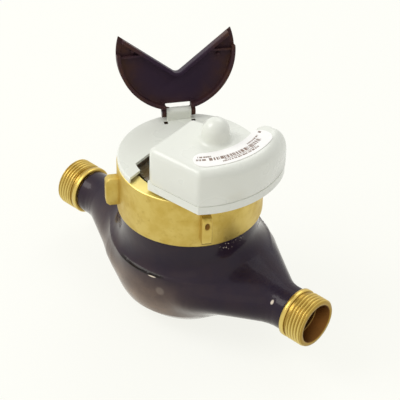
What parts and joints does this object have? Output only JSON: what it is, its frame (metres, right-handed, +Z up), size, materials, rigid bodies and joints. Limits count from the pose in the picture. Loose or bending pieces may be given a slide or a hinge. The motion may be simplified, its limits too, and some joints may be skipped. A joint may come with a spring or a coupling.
{
  "type": "water meter",
  "caption": "Multi-jet water meter: coated brass body with threaded ends, brass head ring, hinged notched lid and a clip-on reading module with a domed coil housing",
  "frame": {"origin": "centre of the flat foot under the bowl, on the register axis", "axes": "+Z up along the register axis, +X along the pipe towards the outlet, +Y to the left of the flow, completing a right-handed frame"},
  "size_m": [0.22, 0.117, 0.1692],
  "materials": {
    "coated_brass": "gloss",
    "brass": "satin",
    "cover_grey": "gloss",
    "lid_dark": "satin",
    "steel": "satin",
    "inner_ivory": "matte",
    "magnet": "matte",
    "seal": "matte",
    "slip": "matte",
    "register_dark": "matte",
    "dial_white": "matte",
    "clear": "gloss",
    "board_green": "matte",
    "battery": "gloss",
    "coil_copper": "satin",
    "label_white": "matte"
  },
  "bodies": {
    "body": {"meter_body": "coated_brass", "head_ring": "brass", "gear_plate": "brass", "register_cover": "cover_grey", "module_base": "cover_grey", "module_housing": "cover_grey", "hinge_pin": "steel", "pivot_pin": "steel", "shield_ring": "steel", "roller_shaft": "steel", "inlet_strainer": "inner_ivory", "chamber_basket": "inner_ivory", "chamber_cover": "inner_ivory", "pressure_plate": "inner_ivory", "head_gasket": "seal", "slip_ring": "slip", "register_can": "register_dark", "dial_plate": "dial_white", "register_glass": "clear", "module_board": "board_green", "module_battery": "battery", "sensor_coil": "coil_copper", "module_label": "label_white"},
    "lid": {"lid": "lid_dark"},
    "impeller": {"impeller": "inner_ivory", "impeller_magnet": "magnet"},
    "spindle": {"drive_spindle": "steel", "follower_magnet": "magnet"},
    "reduction": {"reduction_wheel": "brass"},
    "pulse": {"pulse_wheel": "steel"},
    "roller_1_body": {"roller_1": "dial_white"},
    "roller_2_body": {"roller_2": "dial_white"},
    "roller_3_body": {"roller_3": "dial_white"},
    "roller_4_body": {"roller_4": "dial_white"},
    "roller_5_body": {"roller_5": "dial_white"}
  },
  "joints": [
    {"name": "lid_hinge", "type": "hinge", "parent": "body", "child": "lid", "pos_m": [-0.03479, 0.02527, 0.1186], "axis": [-0.5878, -0.809, 0], "range_deg": [-107, 0]},
    {"name": "impeller_spin", "type": "hinge", "parent": "body", "child": "impeller", "pos_m": [0, 0, 0.05], "axis": [0, 0, 1], "continuous": true},
    {"name": "follower_spin", "type": "hinge", "parent": "body", "child": "spindle", "pos_m": [0, 0, 0.099], "axis": [0, 0, 1], "continuous": true},
    {"name": "reduction_spin", "type": "hinge", "parent": "body", "child": "reduction", "pos_m": [0.01534, -0.00942, 0.101], "axis": [0, 0, 1], "continuous": true},
    {"name": "pulse_spin", "type": "hinge", "parent": "body", "child": "pulse", "pos_m": [0.02595, -0.00744, 0.101], "axis": [0, 0, 1], "continuous": true},
    {"name": "roller_1_spin", "type": "hinge", "parent": "body", "child": "roller_1_body", "pos_m": [-0.01493, 0.01517, 0.1012], "axis": [0.5878, 0.809, 0], "continuous": true},
    {"name": "roller_2_spin", "type": "hinge", "parent": "body", "child": "roller_2_body", "pos_m": [-0.01493, 0.01517, 0.1012], "axis": [0.5878, 0.809, 0], "continuous": true},
    {"name": "roller_3_spin", "type": "hinge", "parent": "body", "child": "roller_3_body", "pos_m": [-0.01493, 0.01517, 0.1012], "axis": [0.5878, 0.809, 0], "continuous": true},
    {"name": "roller_4_spin", "type": "hinge", "parent": "body", "child": "roller_4_body", "pos_m": [-0.01493, 0.01517, 0.1012], "axis": [0.5878, 0.809, 0], "continuous": true},
    {"name": "roller_5_spin", "type": "hinge", "parent": "body", "child": "roller_5_body", "pos_m": [-0.01493, 0.01517, 0.1012], "axis": [0.5878, 0.809, 0], "continuous": true}
  ],
  "couplings": [
    {"joint": "follower_spin", "follows": "impeller_spin", "ratio": 1},
    {"joint": "reduction_spin", "follows": "impeller_spin", "ratio": -0.25},
    {"joint": "pulse_spin", "follows": "impeller_spin", "ratio": 0.125},
    {"joint": "roller_1_spin", "follows": "impeller_spin", "ratio": 0.0125},
    {"joint": "roller_2_spin", "follows": "impeller_spin", "ratio": 0.00125},
    {"joint": "roller_3_spin", "follows": "impeller_spin", "ratio": 0.000125},
    {"joint": "roller_4_spin", "follows": "impeller_spin", "ratio": 0.0000125},
    {"joint": "roller_5_spin", "follows": "impeller_spin", "ratio": 0.00000125}
  ]
}
